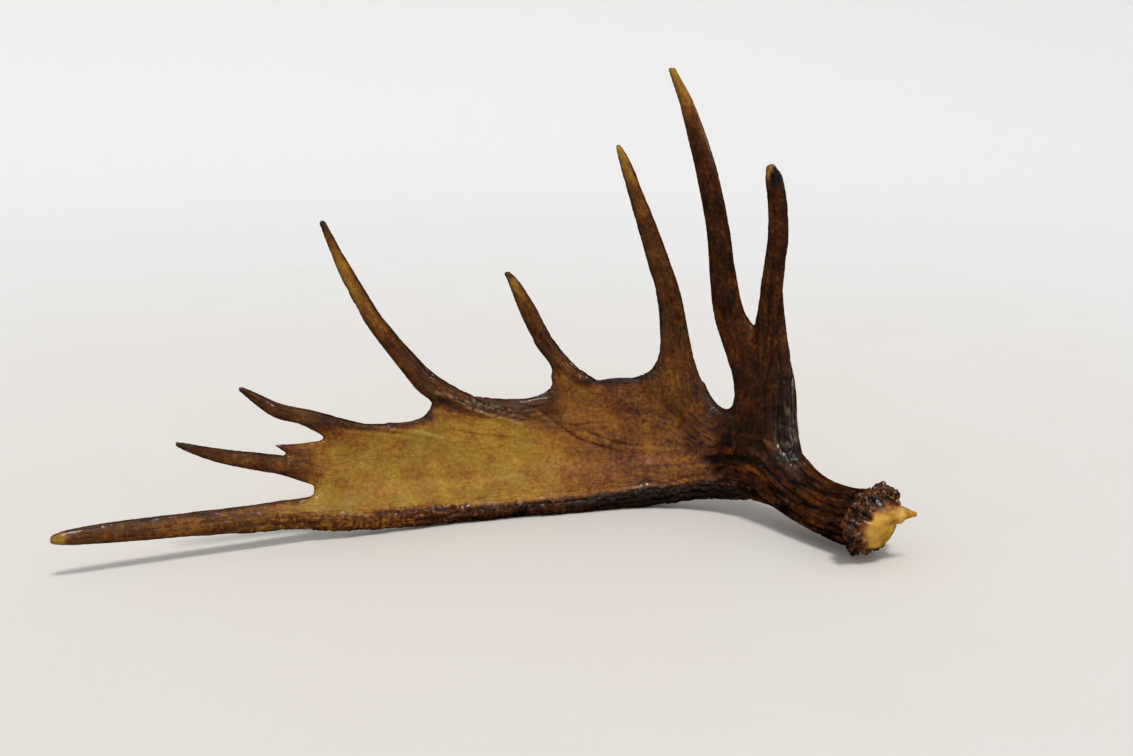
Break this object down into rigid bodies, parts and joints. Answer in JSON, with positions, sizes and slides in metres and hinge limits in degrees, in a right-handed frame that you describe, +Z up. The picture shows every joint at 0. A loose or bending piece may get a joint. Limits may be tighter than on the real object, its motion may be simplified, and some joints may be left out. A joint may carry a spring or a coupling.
{
  "type": "moose antler",
  "caption": "Shed moose antler with a clear varnish: a ridged beam with its burr and bone seal, a forked brow branch, and a long hollow palm edged with tines.",
  "frame": {"origin": "under the middle of the antler's bounding box, on the surface that it stands on", "axes": "+X along the palm towards the burr, +Y away from the hollow side of the palm, +Z up as it rests"},
  "size_m": [0.887, 0.2702, 0.5007],
  "materials": {
    "palm_bone": "ochre to olive-brown antler bone, finely streaked along its growth, under clear glossy varnish",
    "dark_bone": "dark red-brown antler bone with lengthwise ridges and grooves, under clear glossy varnish",
    "tine_bone": "brown antler bone fading to pale yellow at the rubbed tips, under clear glossy varnish",
    "seal_bone": "smooth yellow-ochre bone of the pedicle seal, under clear glossy varnish"
  },
  "bodies": {
    "root": {"beam": "dark_bone", "brow_palm": "dark_bone", "brow_tine_long": "tine_bone", "brow_tine_short": "dark_bone", "main_palm": "palm_bone", "palm_tine_1": "tine_bone", "palm_tine_2": "tine_bone", "palm_tine_3": "tine_bone", "palm_tine_4": "tine_bone", "palm_tine_5": "tine_bone", "terminal_tine": "tine_bone"}
  },
  "joints": []
}
